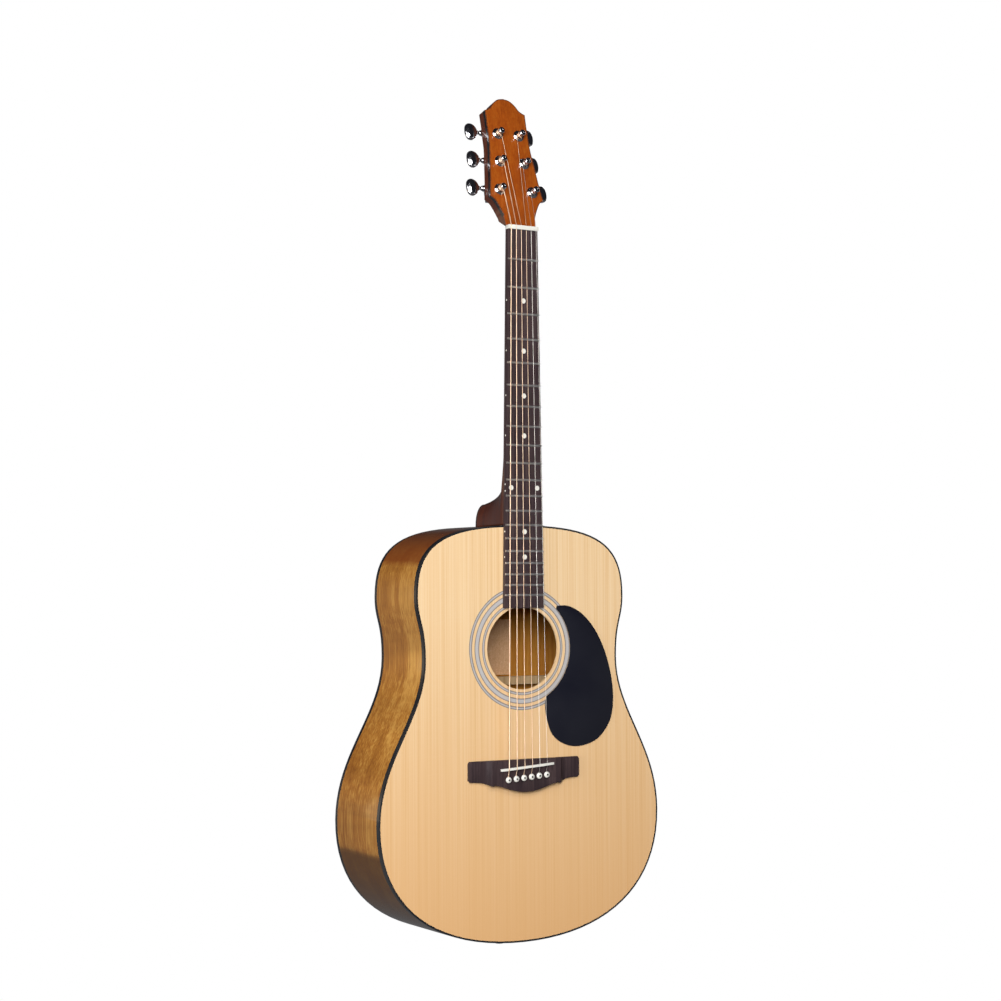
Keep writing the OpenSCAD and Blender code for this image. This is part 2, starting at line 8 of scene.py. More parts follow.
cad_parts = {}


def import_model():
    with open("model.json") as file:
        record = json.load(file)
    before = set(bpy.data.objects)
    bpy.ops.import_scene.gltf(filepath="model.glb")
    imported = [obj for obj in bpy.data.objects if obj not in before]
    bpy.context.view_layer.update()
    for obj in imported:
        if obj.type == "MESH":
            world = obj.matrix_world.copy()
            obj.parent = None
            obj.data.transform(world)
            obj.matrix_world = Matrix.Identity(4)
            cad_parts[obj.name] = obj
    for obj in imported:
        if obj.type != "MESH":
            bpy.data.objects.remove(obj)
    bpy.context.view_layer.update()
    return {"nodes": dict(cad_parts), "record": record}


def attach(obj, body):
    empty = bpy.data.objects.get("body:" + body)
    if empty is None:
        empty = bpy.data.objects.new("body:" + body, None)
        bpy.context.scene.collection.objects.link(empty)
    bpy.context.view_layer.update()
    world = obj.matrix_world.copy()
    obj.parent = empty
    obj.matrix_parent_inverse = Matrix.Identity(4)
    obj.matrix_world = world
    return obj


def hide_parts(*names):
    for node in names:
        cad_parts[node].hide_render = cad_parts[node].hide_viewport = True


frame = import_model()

NODES = frame["nodes"]
MM = 0.001
FRONT_Y = -59.0                 # outer face of the soundboard
BODY_LEN = 503
SCALE_LEN = 650
BODY_FRET = 14                  # the fret at the joint of neck and body
NUT_T = 5
HEAD_Z = BODY_LEN + SCALE_LEN * (1 - 2 ** (-BODY_FRET / 12)) + NUT_T
TILT = math.radians(14)         # how far the headstock leans back
# tuner posts in the headstock's own frame: across, and up from the nut
POSTS = [(-23.3, 46.5), (-17.2, 84.5), (-15, 121.7), (15, 121.7), (17.2, 84.5), (23.3, 46.5)]


# ---- camera ----

LENS_MM, SENSOR_MM = 74.41, 36.0
YAW, PITCH, ROLL = 0.5367, 0.0406, -0.0049
CAMERA_AT = (-1.30854, -2.20743, 0.43098)


def camera():
    cam = bpy.data.cameras.new("camera")
    cam.lens = LENS_MM
    cam.sensor_width = SENSOR_MM
    cam.clip_start, cam.clip_end = 0.05, 60
    obj = bpy.data.objects.new("camera", cam)
    bpy.context.scene.collection.objects.link(obj)
    fwd = Vector((math.sin(YAW) * math.cos(PITCH), math.cos(YAW) * math.cos(PITCH), math.sin(PITCH)))
    right = Vector((math.cos(YAW), -math.sin(YAW), 0))
    up = right.cross(fwd)
    r = math.cos(ROLL) * right + math.sin(ROLL) * up
    u = -math.sin(ROLL) * right + math.cos(ROLL) * up
    m = Matrix((r, u, -fwd)).transposed().to_4x4()
    m.translation = Vector(CAMERA_AT)
    obj.matrix_world = m
    bpy.context.scene.camera = obj


camera()
bpy.context.scene.view_settings.view_transform = "Standard"


# ---- material helpers ----

class Mat:
    """A Principled material and short calls that add nodes to it."""

    def __init__(self, name, **sockets):
        self.m = bpy.data.materials.new(name)
        self.m.use_nodes = True
        self.nt = self.m.node_tree
        self.b = self.nt.nodes["Principled BSDF"]
        for key, value in sockets.items():
            self.b.inputs[key.replace("_", " ")].default_value = value
        self.co = self.nt.nodes.new("ShaderNodeTexCoord").outputs["Object"]

    def node(self, kind, **props):
        n = self.nt.nodes.new(kind)
        for key, value in props.items():
            setattr(n, key, value)
        return n

    def put(self, socket, value):
        if hasattr(value, "is_output"):
            self.nt.links.new(value, socket)
        else:
            socket.default_value = value

    def scaled(self, scale, co=None):
        n = self.node("ShaderNodeMapping")
        self.put(n.inputs["Vector"], co or self.co)
        n.inputs["Scale"].default_value = scale
        return n.outputs[0]

    def noise(self, co, scale=1.0, detail=3.0, rough=0.5, distort=0.0):
        n = self.node("ShaderNodeTexNoise")
        self.put(n.inputs["Vector"], co)
        for key, value in (("Scale", scale), ("Detail", detail), ("Roughness", rough),
                           ("Distortion", distort)):
            n.inputs[key].default_value = value
        return n.outputs["Fac"]

    def wave(self, co, scale, distort=0.0, detail=2.0, axis="X"):
        n = self.node("ShaderNodeTexWave", bands_direction=axis)
        self.put(n.inputs["Vector"], co)
        for key, value in (("Scale", scale), ("Distortion", distort), ("Detail", detail)):
            n.inputs[key].default_value = value
        return n.outputs["Fac"]

    def math(self, op, a, b=0.0):
        n = self.node("ShaderNodeMath", operation=op)
        for i, v in enumerate((a, b)):
            self.put(n.inputs[i], v)
        return n.outputs[0]

    def ramp(self, fac, *stops, ease="LINEAR"):
        n = self.node("ShaderNodeValToRGB")
        n.color_ramp.interpolation = ease
        self.put(n.inputs[0], fac)
        while len(n.color_ramp.elements) < len(stops):
            n.color_ramp.elements.new(0.5)
        for e, (pos, col) in zip(n.color_ramp.elements, stops):
            e.position = pos
            e.color = (*col, 1) if len(col) == 3 else col
        return n.outputs[0]

    def grey(self, fac, lo, hi, a=0.0, b=1.0):
        return self.ramp(fac, (lo, (a, a, a)), (hi, (b, b, b)))

    def mix(self, fac, a, b):
        n = self.node("ShaderNodeMix", data_type="RGBA", blend_type="MIX")
        self.put(n.inputs[0], fac)
        for i, v in ((6, a), (7, b)):
            self.put(n.inputs[i], (*v, 1) if isinstance(v, tuple) and len(v) == 3 else v)
        return n.outputs[2]

    def xyz(self, co=None):
        n = self.node("ShaderNodeSeparateXYZ")
        self.put(n.inputs[0], co or self.co)
        return n.outputs

    def color(self, value):
        self.put(self.b.inputs["Base Color"], value)

    def rough(self, value):
        self.put(self.b.inputs["Roughness"], value)

    def bump(self, height, strength, distance):
        n = self.node("ShaderNodeBump")
        n.inputs["Strength"].default_value = strength
        n.inputs["Distance"].default_value = distance
        self.put(n.inputs["Height"], height)
        self.put(self.b.inputs["Normal"], n.outputs[0])


SHOULDER_Z = (0.458, 0.464)     # where the painted shade on the rib begins, upward, in metres
TAIL_Z = (0.116, 0.122)         # and downward
BODY_MID_Z = 0.25


def rib_painted_shade(m, col):
    """Painted shade: the rib is darker at the shoulder and the tail, where less light falls; and raw dark wood on
    the faces towards the inside.
    """
    x, y, z = m.xyz()
    # painted shade: darker above the shoulder and below the tail, with a wobbly edge
    edge = m.noise(m.scaled((6, 6, 6)), 1.0, 1.0)
    z = m.math("ADD", z, m.math("MULTIPLY", edge, 0.01))
    col = m.mix(m.grey(z, *SHOULDER_Z, 0.0, 0.80), col, (0.19, 0.040, 0.006))
    col = m.mix(m.grey(z, *TAIL_Z, 0.85, 0.0), col, (0.075, 0.030, 0.007))
    nx, ny, nz = m.xyz(m.nt.nodes["Texture Coordinate"].outputs["Normal"])
    out = m.math("ADD", m.math("MULTIPLY", x, nx),
                 m.math("MULTIPLY", m.math("SUBTRACT", z, BODY_MID_Z), nz))
    inner = m.grey(out, -0.02, 0.0, 1.0, 0.0)
    return m.mix(inner, col, (0.055, 0.030, 0.017))


def wood(name, dark, mid, light, fine, streak, contrast=(0.3, 0.7), lacquer=1.0, rough=0.42,
         pores=0.0, patch=0.25, patch_scale=(7, 7, 3), bump=0.05, finish=None):
    """Wood with its grain along Z: fine and streak are how dense the lines are across the grain."""
    m = Mat(name, Coat_Weight=lacquer, Coat_Roughness=0.045, Specular_IOR_Level=0.12)
    base = m.co
    wob = m.noise(m.scaled((3, 3, 2.2), co=base), 1.0, 2.0)
    lines = m.noise(m.scaled((fine, fine, fine * 0.012), co=base), 1.0, 4.0, 0.6, 0.3)
    broad = m.noise(m.scaled((streak, streak, streak * 0.03), co=base), 1.0, 3.0, 0.55, 0.6)
    both = m.math("ADD", m.math("MULTIPLY", lines, 0.55), m.math("MULTIPLY", broad, 0.45))
    col = m.ramp(both, (contrast[0], dark), (0.5, mid), (contrast[1], light))
    big = m.noise(m.scaled(patch_scale, co=base), 1.0, 3.0, 0.6, 0.8)
    col = m.mix(m.grey(big, 0.35, 0.7, 0.0, patch), col, tuple(c * 0.55 for c in dark))
    col = m.mix(m.grey(wob, 0.3, 0.75, 0.0, 0.18), col, light)
    if pores:
        pore = m.noise(m.scaled((1500, 1500, 70), co=base), 1.0, 2.0, 0.7)
        mask = m.grey(pore, 0.30, 0.42, 1.0, 0.0)
        col = m.mix(m.math("MULTIPLY", mask, pores), col, tuple(c * 0.35 for c in dark))
        height = m.math("SUBTRACT", both, m.math("MULTIPLY", mask, 0.6))
    else:
        height = both
    if finish:
        col = finish(m, col)
    m.color(col)
    m.rough(m.grey(lines, 0.3, 0.7, rough - 0.06, rough + 0.06))
    m.bump(height, bump, 0.0003)
    return m


ROSETTE_Z = 353.8               # centre of the soundhole
RING_START, RING_SPAN = 53.5, 21.5


def make_materials():
    mats = {}
    # spruce: straight fine lines, a faint cross-silk, and painted shade: a darker, warmer tone towards the tail,
    # where light from above falls less
    m = Mat("spruce_top", Coat_Weight=1.0, Coat_Roughness=0.06, Specular_IOR_Level=0.3)
    lines = m.noise(m.scaled((520, 30, 2.2)), 1.0, 3.0, 0.65, 0.15)
    bands = m.noise(m.scaled((95, 10, 0.8)), 1.0, 3.0, 0.6, 0.2)
    silk = m.noise(m.scaled((60, 60, 420)), 1.0, 2.0, 0.6, 1.2)
    col = m.ramp(lines, (0.28, (0.76, 0.48, 0.225)), (0.50, (0.86, 0.60, 0.33)), (0.70, (0.90, 0.67, 0.41)))
    col = m.mix(m.grey(bands, 0.45, 0.75, 0.0, 0.25), col, (0.74, 0.46, 0.22))
    col = m.mix(m.grey(silk, 0.5, 0.75, 0.0, 0.10), col, (0.90, 0.70, 0.45))
    # painted shade: darker and warmer towards the tail
    z = m.xyz()[2]
    col = m.mix(m.grey(z, 0.0, 0.40, 0.85, 0.0), col, (0.76, 0.42, 0.17))
    m.color(col)
    m.rough(m.grey(lines, 0.3, 0.7, 0.40, 0.5))
    m.bump(lines, 0.04, 0.0002)
    mats["spruce"] = m.m
    mats["mahogany"] = wood("mahogany_body",
                            (0.26, 0.085, 0.012), (0.43, 0.17, 0.026), (0.60, 0.29, 0.055), 420, 30,
                            pores=0.45, patch=0.45, patch_scale=(5, 5, 14)).m
    mats["rib_wood"] = wood("mahogany_ribs",
                            (0.26, 0.085, 0.012), (0.43, 0.17, 0.026),
                            (0.66, 0.34, 0.075), 420, 30, contrast=(0.38, 0.62),
                            pores=0.45, patch=0.5, patch_scale=(3, 3, 12), finish=rib_painted_shade).m
    mats["neck_wood"] = wood("mahogany_neck",
                             (0.045, 0.012, 0.008), (0.085, 0.022, 0.012), (0.13, 0.036, 0.016), 380, 60,
                             pores=0.4).m
    mats["head_veneer"] = wood("head_veneer_wood",
                               (0.22, 0.034, 0.003), (0.34, 0.066, 0.004), (0.44, 0.115, 0.010), 500, 90,
                               pores=0.5, patch=0.25, patch_scale=(20, 20, 12)).m
    mats["rosewood"] = wood("rosewood_board",
                            (0.024, 0.015, 0.018), (0.048, 0.031, 0.034),
                            (0.095, 0.062, 0.060), 650, 150,
                            lacquer=0.0, rough=0.5, pores=0.7, patch=0.35, patch_scale=(30, 30, 7),
                            bump=0.25).m
    mats["inner_wood"] = wood("raw_inner_wood",
                              (0.34, 0.21, 0.10), (0.46, 0.31, 0.16), (0.56, 0.41, 0.24), 420, 60,
                              lacquer=0.0, rough=0.7, bump=0.12).m
    mats["inner_back"] = wood("raw_mahogany",
                              (0.16, 0.06, 0.025), (0.30, 0.13, 0.05), (0.42, 0.21, 0.09), 420, 60,
                              lacquer=0.0, rough=0.7, pores=0.3, bump=0.12).m

    def plastic(name, col, rough, coat=0.6, speck=0.02, scale=900):
        m = Mat(name, Coat_Weight=coat, Coat_Roughness=0.05, Specular_IOR_Level=0.5)
        n = m.noise(m.scaled((1, 1, 1)), scale, 3.0, 0.6)
        soft = m.noise(m.scaled((1, 1, 1)), 24.0, 2.0, 0.5)
        lift = tuple(min(1, c + speck) for c in col)
        m.color(m.mix(m.grey(soft, 0.35, 0.65, 0.0, 0.8), col, lift))
        m.rough(m.grey(n, 0.3, 0.7, rough - 0.03, rough + 0.04))
        m.bump(n, 0.03, 0.0001)
        return m.m

    mats["black_plastic"] = plastic("black_binding", (0.010, 0.010, 0.012), 0.22)
    mats["guard_plastic"] = plastic("pickguard_sheet", (0.0055, 0.0060, 0.0125), 0.20, coat=0.5, speck=0.003)
    mats["white_plastic"] = plastic("ivory_plastic", (0.80, 0.78, 0.71), 0.28, speck=0.03)

    # rosette: three flush rings of fine grey, white and black lines
    m = Mat("rosette_lines", Coat_Weight=1.0, Coat_Roughness=0.06)
    x, y, z = m.xyz()
    dz = m.math("SUBTRACT", z, ROSETTE_Z * MM)
    r = m.math("SQRT", m.math("ADD", m.math("MULTIPLY", x, x), m.math("MULTIPLY", dz, dz)))
    t = m.math("DIVIDE", m.math("SUBTRACT", r, RING_START * MM), RING_SPAN * MM)
    black, grey, light = (0.20, 0.17, 0.16), (0.30, 0.27, 0.26), (0.52, 0.50, 0.50)

    def k(mm):
        return (mm - RING_START) / RING_SPAN
    rings = m.ramp(t, (0.0, black), (k(53.9), grey), (k(54.7), light), (k(55.9), grey), (k(56.6), black),
                   (k(60.9), black), (k(61.6), grey), (k(62.3), light), (k(66.2), grey), (k(66.9), black),
                   (k(71.0), black), (k(71.5), grey), (k(72.4), light), (k(73.7), grey), (k(74.5), black),
                   ease="CONSTANT")
    wear = m.noise(m.scaled((1, 1, 1)), 700.0, 2.0)
    m.color(m.mix(m.grey(wear, 0.4, 0.6, 0.0, 0.12), rings, (0.40, 0.34, 0.28)))
    m.rough(m.grey(wear, 0.3, 0.7, 0.38, 0.48))
    mats["rosette_inlay"] = m.m

    def metal(name, col, rough, vary=0.03, scale=260, brushed=None):
        m = Mat(name, Metallic=1.0)
        co = m.scaled(brushed) if brushed else m.scaled((scale,) * 3)
        n = m.noise(co, 1.0, 4.0, 0.6)
        smudge = m.noise(m.scaled((70, 70, 70)), 1.0, 3.0, 0.6, 0.5)
        m.color(m.mix(m.grey(smudge, 0.35, 0.7, 0.0, 0.25), col, tuple(c * 0.86 for c in col)))
        m.rough(m.grey(n, 0.3, 0.7, max(0.02, rough - vary), rough + vary))
        m.bump(n, 0.02, 0.0001)
        return m.m

    mats["chrome"] = metal("chrome_plate", (0.66, 0.66, 0.69), 0.07)
    mats["fret_wire"] = metal("nickel_silver", (0.95, 0.94, 0.92), 0.40, brushed=(80, 900, 900))
    mats["plain_steel"] = metal("plain_steel_wire", (0.93, 0.88, 0.82), 0.42)
    mats["brass_nut"] = metal("machined_brass", (0.72, 0.55, 0.25), 0.25)
    m = Mat("bronze_wound_wire", Metallic=1.0)
    turns = m.wave(m.scaled((1, 1, 1)), 1000, 0.2, 1.0, "Z")
    tone = m.noise(m.scaled((1, 1, 12)), 8.0, 3.0)
    m.color(m.mix(m.grey(tone, 0.35, 0.65), (0.90, 0.62, 0.42), (0.98, 0.76, 0.56)))
    m.rough(m.grey(turns, 0.0, 1.0, 0.50, 0.42))
    m.bump(turns, 0.35, 0.0001)
    mats["bronze_winding"] = m.m

    m = Mat("kraft_label", Specular_IOR_Level=0.2)
    fibres = m.noise(m.scaled((900, 900, 300)), 1.0, 4.0, 0.7, 1.5)
    blotch = m.noise(m.scaled((25, 25, 25)), 1.0, 3.0)
    col = m.ramp(fibres, (0.3, (0.60, 0.30, 0.14)), (0.55, (0.82, 0.50, 0.27)), (0.75, (0.92, 0.66, 0.42)))
    m.color(m.mix(m.grey(blotch, 0.4, 0.7, 0.0, 0.3), col, (0.66, 0.36, 0.18)))
    m.rough(m.grey(fibres, 0.3, 0.7, 0.75, 0.9))
    m.bump(fibres, 0.2, 0.0002)
    mats["kraft_paper"] = m.m
    return mats


MATS = make_materials()


# ---- mesh helpers ----

def head(x, y, s):
    """A point of the headstock's own frame in the guitar's frame."""
    c, n = math.cos(TILT), math.sin(TILT)
    return Vector((x, FRONT_Y + y * c + s * n, HEAD_Z - y * n + s * c))


def piece(name, verts, faces, slot, body):
    """A smooth-shaded mesh in millimetres that rides on a body."""
    me = bpy.data.meshes.new(name)
    me.from_pydata([tuple(v[i] * MM for i in range(3)) for v in verts], [], faces)
    me.validate()
    me.polygons.foreach_set("use_smooth", [True] * len(me.polygons))
    me.materials.append(MATS[slot])
    me.update()
    obj = bpy.data.objects.new(name, me)
    bpy.context.scene.collection.objects.link(obj)
    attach(obj, body)
    return obj


def rings_to_faces(count, n, base):
    faces = []
    for j in range(count - 1):
        for i in range(n):
            a, b = base + j * n + i, base + j * n + (i + 1) % n
            faces.append((a, b, b + n, a + n))
    return faces


def add_rings(verts, faces, rings, cap=True):
    """Appends a tube through rings of points, its two ends capped unless cap is False."""
    base, n = len(verts), len(rings[0])
    for r in rings:
        verts.extend(r)
    faces.extend(rings_to_faces(len(rings), n, base))
    if cap:
        faces.append(tuple(base + i for i in reversed(range(n))))
        faces.append(tuple(base + (len(rings) - 1) * n + i for i in range(n)))


def lathe_rings(profile, place, n=40):
    """Rings of a turned shape: profile is (along, radius), and place(a, u, v) gives a point."""
    return [[place(a, r * math.cos(2 * math.pi * i / n), r * math.sin(2 * math.pi * i / n))
             for i in range(n)] for a, r in profile]


def soften(obj, width):
    """Rounds the sharp edges by width millimetres."""
    mod = obj.modifiers.new("edges", "BEVEL")
    mod.width = width * MM
    mod.segments = 2
    mod.limit_method = "ANGLE"
    mod.angle_limit = math.radians(35)
    mod.use_clamp_overlap = True


# ---- CAD nodes that keep their shape ----

SLOT_OF = {s["node"]: s["material_slot"] for s in frame["record"]["subparts"]}
EDGES = {"bridge": 0.4, "pickguard": 0.35, "saddle": 0.4, "nut": 0.3, "tuner_housings": 1.2, "label": 0.05}
for name, obj in NODES.items():
    mat = MATS[SLOT_OF[name]]
    if name == "heel_cap":
        mat = MATS["rosewood"]
    if name in ("bass_side", "treble_side"):
        mat = MATS["rib_wood"]
    if name == "linings":
        mat = MATS["inner_back"]
    obj.data.materials.clear()
    obj.data.materials.append(mat)
    obj.data.polygons.foreach_set("use_smooth", [True] * len(obj.data.polygons))
    weld = obj.modifiers.new("weld", "WELD")
    weld.merge_threshold = 0.00001
    if name in EDGES:
        soften(obj, EDGES[name])
    split = obj.modifiers.new("creases", "EDGE_SPLIT")
    split.split_angle = math.radians(30)


# ---- tuners ----

KEY_RISE, KEY_Y = 9.0, 19.5


def bez(p, t):
    q = 1 - t
    return [q ** 3 * p[0][i] + 3 * t * q * q * p[1][i] + 3 * t * t * q * p[2][i] + t ** 3 * p[3][i] for i in (0, 1)]


KEY_EDGE = [bez(((17.9, 3), (18.6, 7.4), (22.5, 10.85), (26.8, 10.85)), t / 9) for t in range(9)]
KEY_EDGE += [bez(((26.8, 10.85), (32, 10.85), (34.3, 6.6), (33.4, 0.2)), t / 10) for t in range(11)]


def tuner_pieces(i):
    n = 6 - i
    px, ps = POSTS[i]
    side = -1 if px < 0 else 1

    def turned(a, u, v):  # about the key's axis, a outward
        return head(px + side * a, KEY_Y + u, ps + KEY_RISE + v)

    verts, faces = [], []
    add_rings(verts, faces, lathe_rings([(-6, 1.5), (-4.5, 1.5), (-4.4, 3.3), (4.4, 3.3),
                                         (4.5, 2.0), (9.7, 2.0), (9.8, 3.3),
                                         (10.0, 3.7), (10.9, 3.7), (11.2, 3.3), (11.4, 2.8),
                                         (11.9, 3.1), (12.8, 3.1),
                                         (13.2, 2.5), (13.5, 2.0), (15.7, 2.0), (16.2, 2.6),
                                         (16.6, 2.9), (17.5, 3.0),
                                         (18.4, 2.9)], turned, 32))
    rings = []
    for x, w in KEY_EDGE:
        u = (x - 17.9) / 15.9
        t = 3.0 + 0.7 * math.sin(math.pi * min(1, u * 1.25)) - 1.3 * max(0, u - 0.72) / 0.28
        t = min(t, 0.5 + w * 0.9)
        ring = []
        for k in range(36):
            a = 2 * math.pi * k / 36
            cx, cy = math.cos(a), math.sin(a)
            v = math.copysign(abs(cx) ** 0.62, cx) * w
            d = math.copysign(abs(cy) ** 0.55, cy) * t
            ring.append(turned(x, d, v))
        rings.append(ring)
    add_rings(verts, faces, rings)
    key = piece(f"key_{n}_button", verts, faces, "chrome", f"key_{n}")
    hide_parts(f"tuner_key_{n}")

    def upright(a, u, v):  # about the post's axis, a backward
        return head(px + u, a, ps + v)

    verts, faces = [], []
    add_rings(verts, faces, lathe_rings([(22.5, 5.15), (16.5, 5.15), (16.4, 3.0), (-9.4, 3.0),
                                         (-10.6, 3.05), (-11.2, 3.9),
                                         (-11.9, 4.08), (-12.3, 3.95), (-12.7, 3.5), (-13.0, 2.9),
                                         (-13.0, 1.4),
                                         (-12.8, 1.1), (-12.7, 0.2)], upright, 40))
    post = piece(f"post_{n}_capstan", verts, faces, "chrome", f"post_{n}")
    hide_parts(f"tuner_post_{n}")


for index in range(6):
    tuner_pieces(index)

verts, faces = [], []
for px, ps in POSTS:
    def collar(a, u, v):
        return head(px + u, a, ps + v)
    add_rings(verts, faces, lathe_rings([(7, 3.06), (7, 5.0), (-1.0, 5.0), (-1.0, 7.1),
                                         (-1.15, 7.3), (-1.6, 7.3), (-1.85, 7.1),
                                         (-1.95, 6.2), (-2.2, 5.7), (-2.6, 5.4), (-2.9, 4.9), (-3.0, 4.3),
                                         (-2.95, 3.06)], collar, 48), cap=False)
bushings = piece("bushing_collars", verts, faces, "chrome", "guitar")
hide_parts("tuner_bushings")


# ---- black edging of the headstock ----

def spline(p, n):
    out = []
    for i in range(len(p) - 1):
        a, b, c, d = p[max(i - 1, 0)], p[i], p[i + 1], p[min(i + 2, len(p) - 1)]
        for k in range(n):
            t = k / n
            out.append(tuple(0.5 * (2 * b[j] + (c[j] - a[j]) * t + (2 * a[j] - 5 * b[j] + 4 * c[j] - d[j]) * t * t
                                    + (3 * b[j] - a[j] - 3 * c[j] + d[j]) * t ** 3) for j in (0, 1)))
    return out + [p[-1]]


HEAD_HALF = (spline([(22.1, 12), (24.2, 17.5), (27.6, 25), (32, 32.5), (38.1, 37.4)], 4)
             + spline([(36.5, 46), (34.5, 60), (31.5, 85), (29.2, 106), (28.6, 130), (28.8, 152.2)], 3)
             + spline([(25.6, 153.3), (21.5, 155.8), (18.6, 159.2), (15.4, 163.3), (8.4, 168.7),
                       (0, 170.4)], 3))


def head_edging():
    line = HEAD_HALF + [(-x, s) for x, s in reversed(HEAD_HALF[:-1])]
    # (inset from the outline, depth): a chamfer in front and a band down the side
    sections = [(1.0, -0.9), (0.9, -1.04), (0.3, -1.04), (-0.06, -0.7), (-0.06, 0.1),
                (-0.06, 3.8), (0.5, 4.0)]
    pts = [Vector(p) for p in line]
    verts, n = [], len(sections)
    for i, p in enumerate(pts):
        a, b = pts[max(i - 1, 0)], pts[min(i + 1, len(pts) - 1)]
        t = (b - a).normalized()
        u = (p - a).normalized() if i else t
        v = (b - p).normalized() if i < len(pts) - 1 else t
        grow = min(1.8, 1 / max(0.3, math.sqrt(max(0.0, (1 + u.dot(v)) / 2))))
        inward = Vector((-t.y, t.x)) * grow
        for d, y in sections:
            q = p + inward * d
            verts.append(head(q.x, y, q.y))
    faces = []
    for i in range(len(pts) - 1):
        for k in range(n - 1):
            a = i * n + k
            faces.append((a, a + 1, a + n + 1, a + n))
    obj = piece("headstock_edging", verts, faces, "black_plastic", "guitar")
    split = obj.modifiers.new("creases", "EDGE_SPLIT")
    split.split_angle = math.radians(28)


head_edging()


# ---- neck and heel ----

# the heel: depth behind the soundboard, half width, height above the body's shoulder
HEEL = [(6, 24.6, 92), (12, 24.2, 76), (18, 23.6, 61), (24, 22.6, 53.5), (32, 21, 46.5), (42, 18.8, 40.5),
        (55, 16.4, 35.5), (70, 14.3, 31.5), (88, 12.8, 28.5)]


def lerp_rows(rows, x, i, o):
    """Linear look-up in rows, from column i to column o."""
    pts = sorted((r[i], r[o]) for r in rows)
    if x <= pts[0][0]:
        return pts[0][1]
    for (x0, y0), (x1, y1) in zip(pts, pts[1:]):
        if x <= x1:
            return y0 + (y1 - y0) * (x - x0) / (x1 - x0)
    return pts[-1][1]


NUT_Z = 863.5
NECK_HALF_AT_NUT = 19.8
NECK_WIDENING = 6.9, 461        # that much wider, on each side, over that length
SHAFT_RATIO = 0.70              # depth of the shaft over its half width
HEEL_DEPTH, HEEL_FOOT = 88.0, 28.5
HEEL_POWER, JOIN_POWER = 2.35, 6


def neck_half(z):
    return NECK_HALF_AT_NUT + (NUT_Z - z) * NECK_WIDENING[0] / NECK_WIDENING[1]


def neck_piece():
    zs = [503.3 + 1.6 * k for k in range(70)]
    zs += [615.3 + 12.3 * k for k in range(1, 20)] + [856, HEAD_Z - 0.02]
    zs = [z for z in zs if z <= HEAD_Z]
    rings, m = [], 30
    for z in zs:
        w0 = neck_half(z) - 0.05
        d0 = w0 * SHAFT_RATIO
        h = z - BODY_LEN
        if h <= HEEL_FOOT:
            depth = HEEL_DEPTH
        else:
            depth = max(d0, lerp_rows(HEEL, h, 2, 0)) if h < 92 else d0
        half = []
        for k in range(m + 1):
            d = depth * math.sin(math.pi / 2 * k / m)
            shaft = w0 * math.sqrt(max(0, 1 - (d / d0) ** 2)) if d < d0 else 0
            heel = 0
            hd = lerp_rows(HEEL, d, 0, 2)
            if h < hd:
                heel = lerp_rows(HEEL, d, 0, 1) * math.sqrt(max(0, 1 - (h / hd) ** HEEL_POWER))
                heel = min(heel, w0)
            x = (shaft ** JOIN_POWER + heel ** JOIN_POWER) ** (1 / JOIN_POWER) if shaft or heel else 0
            half.append((min(x, w0), FRONT_Y + d))
        half[-1] = (0.0, half[-1][1])
        ring = [Vector((x, y, z)) for x, y in half]
        ring += [Vector((-x, y, z)) for x, y in reversed(half[:-1])]
        rings.append(ring)
    verts, faces = [], []
    add_rings(verts, faces, rings)
    # the flat on the fretboard side is the closing strip between the last and first point
    obj = piece("neck_shaft", verts, faces, "neck_wood", "guitar")
    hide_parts("neck")


neck_piece()


# ---- bridge pins and end pin ----

PIN_GAP, PIN_Z = 10.8, 198.5
BRIDGE_T, BRIDGE_SLANT = 8.8, math.radians(4)

verts, faces = [], []
dot_v, dot_f = [], []
for i in range(6):
    x = (i - 2.5) * PIN_GAP
    z = PIN_Z + x * math.tan(BRIDGE_SLANT)

    def pin_at(a, u, v):  # a forward from the top of the bridge
        return Vector((x + u, FRONT_Y - BRIDGE_T - a, z + v))
    add_rings(verts, faces, lathe_rings([(-15, 2.2), (-1, 2.3), (0, 2.4), (0.05, 3.0),
                                         (0.5, 3.35), (1.2, 3.75), (1.9, 3.8),
                                         (2.6, 3.55), (3.2, 2.9), (3.6, 1.9), (3.75, 1.0),
                                         (3.78, 0.2)], pin_at, 36))
    add_rings(dot_v, dot_f, lathe_rings([(3.5, 1.25), (3.80, 1.2), (3.9, 0.9), (3.95, 0.3)], pin_at, 24))
pins = piece("pin_heads", verts, faces, "white_plastic", "guitar")
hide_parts("bridge_pins")
piece("pin_dots", dot_v, dot_f, "black_plastic", "guitar")

verts, faces = [], []
add_rings(verts, faces, lathe_rings([(16, 3.4), (0.1, 3.6), (0, 6.0), (-1.0, 5.9), (-2.4, 4.9),
                                     (-3.6, 4.1), (-4.6, 4.1),
                                     (-5.4, 4.6), (-6.0, 6.2), (-6.5, 6.85), (-7.4, 7.0),
                                     (-8.6, 6.9), (-9.4, 6.3),
                                     (-9.8, 5.0), (-9.95, 3.0), (-10, 0.5)],
                                    lambda a, u, v: Vector((u, v, a)), 48))
button = piece("strap_button_turned", verts, faces, "black_plastic", "guitar")
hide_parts("end_pin")


# ---- light and floor ----

def area(name, loc, target, size, power, color):
    light = bpy.data.lights.new(name, "AREA")
    light.shape = "RECTANGLE"
    light.size, light.size_y = size
    light.energy = power
    light.color = color
    obj = bpy.data.objects.new(name, light)
    bpy.context.scene.collection.objects.link(obj)
    obj.location = loc
    obj.rotation_euler = (Vector(target) - Vector(loc)).to_track_quat("-Z", "Y").to_euler()
    obj.visible_camera = False


WHITE, AMBER = (1, 1, 1), (1.0, 0.80, 0.55)
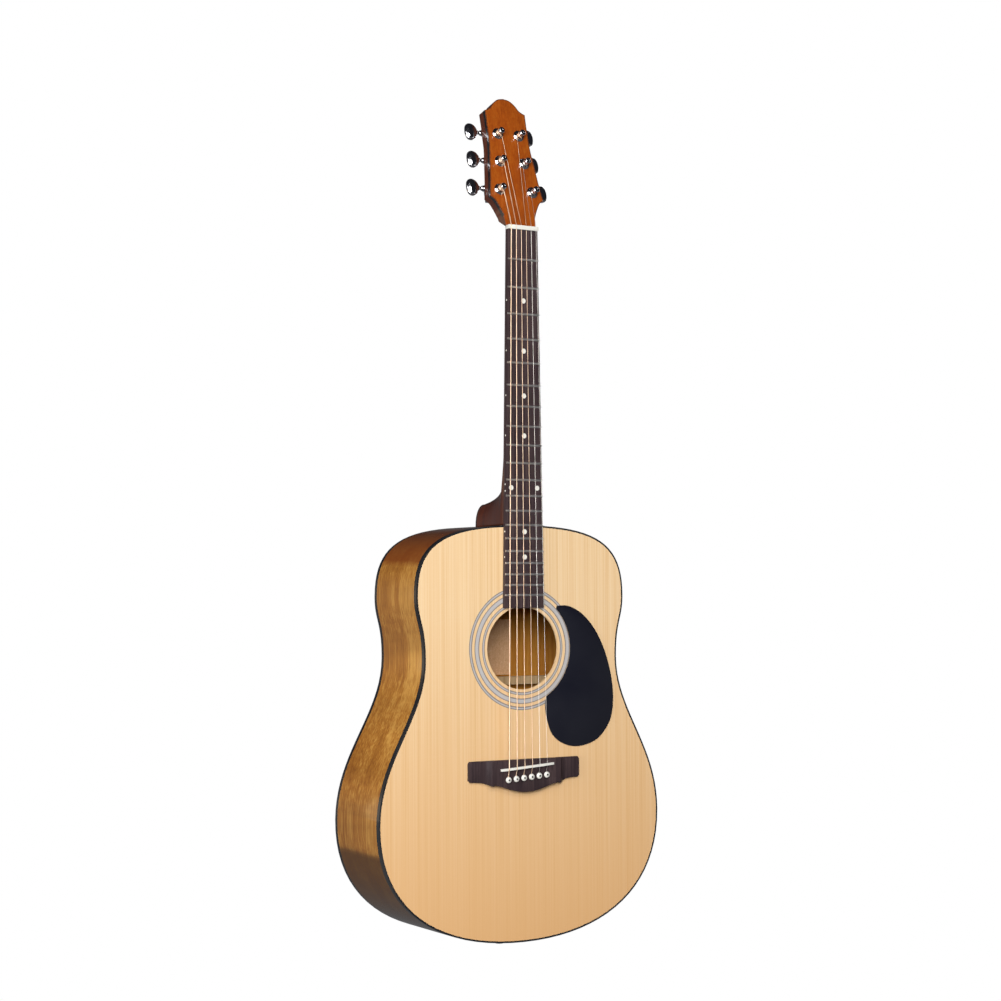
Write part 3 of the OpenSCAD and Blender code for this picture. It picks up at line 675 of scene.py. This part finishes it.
# name, place, aim, size, watts, colour
LIGHTS = [
    ("key_front", (-1.45, -2.3, 0.95), (0, 0, 0.45), (1.0, 0.9), 70, WHITE),
    ("fill_high", (-0.8, -2.6, 2.4), (0, 0, 0.4), (1.5, 0.8), 30, WHITE),
    ("side_left", (-3.0, -0.6, 0.55), (0, 0, 0.4), (1.2, 1.2), 40, WHITE),
    ("side_box", (-1.9, 1.9, 0.55), (0, 0, 0.45), (1.3, 1.15), 2.6, AMBER),
    ("back_right", (1.8, 1.8, 1.2), (0, 0, 0.5), (1.0, 1.6), 14, WHITE),
]
for light in LIGHTS:
    area(*light)


def world():
    """White to the camera; to everything else a dark room with a paler ground."""
    w = bpy.data.worlds.new("studio")
    w.use_nodes = True
    nt = w.node_tree
    nt.nodes.clear()
    out = nt.nodes.new("ShaderNodeOutputWorld")
    mix = nt.nodes.new("ShaderNodeMixShader")
    path = nt.nodes.new("ShaderNodeLightPath")
    white = nt.nodes.new("ShaderNodeBackground")
    white.inputs[0].default_value = (1, 1, 1, 1)
    white.inputs[1].default_value = 1.0
    room = nt.nodes.new("ShaderNodeBackground")
    co = nt.nodes.new("ShaderNodeTexCoord")
    dot = nt.nodes.new("ShaderNodeVectorMath")
    dot.operation = "DOT_PRODUCT"
    dot.inputs[1].default_value = (0.0, 0.0, 1.0)
    ramp = nt.nodes.new("ShaderNodeValToRGB")
    ramp.color_ramp.elements[0].position = 0.0
    ramp.color_ramp.elements[0].color = (0.12, 0.12, 0.125, 1)
    ramp.color_ramp.elements[1].position = 0.25
    ramp.color_ramp.elements[1].color = (0.018, 0.018, 0.022, 1)
    nt.links.new(co.outputs["Generated"], dot.inputs[0])
    nt.links.new(dot.outputs["Value"], ramp.inputs[0])
    nt.links.new(ramp.outputs[0], room.inputs[0])
    nt.links.new(path.outputs["Is Camera Ray"], mix.inputs[0])
    nt.links.new(room.outputs[0], mix.inputs[1])
    nt.links.new(white.outputs[0], mix.inputs[2])
    nt.links.new(mix.outputs[0], out.inputs[0])
    bpy.context.scene.world = w


world()


FLOOR_Z, FLOOR_HALF = -0.0105, 30


def floor():
    me = bpy.data.meshes.new("floor")
    s = FLOOR_HALF
    corners = [(-s, -s, FLOOR_Z), (s, -s, FLOOR_Z), (s, s, FLOOR_Z), (-s, s, FLOOR_Z)]
    me.from_pydata(corners, [], [(0, 1, 2, 3)])
    m = bpy.data.materials.new("pale_floor")
    m.use_nodes = True
    b = m.node_tree.nodes["Principled BSDF"]
    b.inputs["Base Color"].default_value = (0.0, 0.0, 0.0, 1)
    b.inputs["Specular IOR Level"].default_value = 0.0
    b.inputs["Emission Color"].default_value = (1, 1, 1, 1)
    b.inputs["Emission Strength"].default_value = 1.0
    me.materials.append(m)
    obj = bpy.data.objects.new("floor", me)
    bpy.context.scene.collection.objects.link(obj)
    obj.visible_diffuse = False
    obj.visible_glossy = False
    obj.visible_shadow = False


floor()
